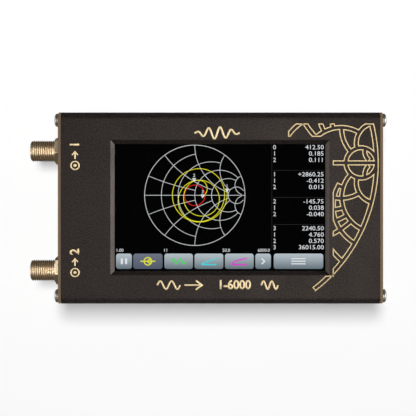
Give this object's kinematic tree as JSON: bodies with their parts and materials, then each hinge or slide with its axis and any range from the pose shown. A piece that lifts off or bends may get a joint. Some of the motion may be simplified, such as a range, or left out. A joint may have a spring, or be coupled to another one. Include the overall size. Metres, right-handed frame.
{
  "type": "vector network analyzer",
  "caption": "Handheld radio-frequency network analyzer in a flat aluminium case, with a framed touch display and threaded coaxial test ports at one end.",
  "frame": {"origin": "centre of the case's flat back face, between the two end plates' outer faces", "axes": "+X along the case towards the charging end (the test ports point along -X), +Y across the case towards port 1, +Z out of the display"},
  "size_m": [0.1525, 0.081, 0.027],
  "materials": {
    "anodised_shell": "satin black anodised, fine grain",
    "end_plate_laminate": "black solder mask on glass-fibre laminate, bare tan edges",
    "screw_steel": "nickel-plated, polished dome",
    "port_gold": "gold-plated brass, machined thread",
    "port_nut_gold": "gold-plated brass, machined flats",
    "insulator": "white fluoropolymer",
    "contact_gold": "gold-plated beryllium copper",
    "gasket_foam": "black closed-cell foam",
    "touch_glass": "clear cover glass, gloss",
    "lcd": "black liquid crystal glass, lit chart in the visual model",
    "light_guide": "clear acrylic with white backing",
    "display_frame": "white moulded tray",
    "carrier_steel": "zinc-plated sheet",
    "flex_film": "amber polyimide with copper tracks",
    "standoff_brass": "turned brass",
    "circuit_board": "green solder mask with tracks",
    "shield_can": "tin-plated sheet",
    "chip_black": "moulded epoxy",
    "inductor_ferrite": "pressed ferrite",
    "capacitor_ceramic": "ceramic with tinned ends",
    "oscillator_can": "nickel can",
    "socket_plastic": "ivory nylon",
    "usb_steel": "nickel-plated drawn steel",
    "usb_tongue": "black moulding with gold contacts",
    "led": "clear resin",
    "light_pipe": "moulded acrylic, frosted end",
    "switch_black": "moulded nylon",
    "button_black": "black anodised, turned rings",
    "battery_foil": "laminated pouch foil",
    "guard_board": "green solder mask",
    "pad_foam": "double-sided foam tape",
    "lead_red": "silicone insulation",
    "lead_black": "silicone insulation"
  },
  "bodies": {
    "case": {"front_shell": "anodised_shell", "back_shell": "anodised_shell", "left_end_plate": "end_plate_laminate", "right_end_plate": "end_plate_laminate", "left_end_screws": "screw_steel", "right_end_screws": "screw_steel", "display_gasket": "gasket_foam", "touch_panel": "touch_glass", "lcd_panel": "lcd", "light_guide": "light_guide", "display_frame": "display_frame", "display_carrier": "carrier_steel", "display_flex": "flex_film", "touch_flex": "flex_film", "display_standoffs": "standoff_brass", "upper_standoff_screws": "screw_steel", "lower_standoff_screws": "screw_steel", "main_board": "circuit_board", "port_1_shield": "shield_can", "port_2_shield": "shield_can", "synthesizer_shield": "shield_can", "receiver_chips": "chip_black", "processor_chip": "chip_black", "logic_chip": "chip_black", "memory_chip": "chip_black", "regulator_chips": "chip_black", "power_inductors": "inductor_ferrite", "capacitors": "capacitor_ceramic", "reference_oscillator": "oscillator_can", "display_flex_socket": "socket_plastic", "touch_flex_socket": "socket_plastic", "usb_shell": "usb_steel", "usb_tongue": "usb_tongue", "status_leds": "led", "light_pipes": "light_pipe", "power_switch": "switch_black", "battery": "battery_foil", "battery_guard_board": "guard_board", "battery_pad": "pad_foam", "battery_lead_red": "lead_red", "battery_lead_black": "lead_black", "battery_plug": "socket_plastic", "battery_socket": "socket_plastic", "port_1_jack": "port_gold", "port_1_insulator": "insulator", "port_1_contact": "contact_gold", "port_1_washer": "port_nut_gold", "port_1_nut": "port_nut_gold", "port_2_jack": "port_gold", "port_2_insulator": "insulator", "port_2_contact": "contact_gold", "port_2_washer": "port_nut_gold", "port_2_nut": "port_nut_gold"},
    "button": {"power_button": "button_black", "switch_plunger": "switch_black"}
  },
  "joints": [
    {"name": "power_button_press", "type": "slide", "parent": "case", "child": "button", "axis": [-1, 0, 0], "range_m": [0, 0.0003], "stiffness_N_per_m": 2000}
  ]
}
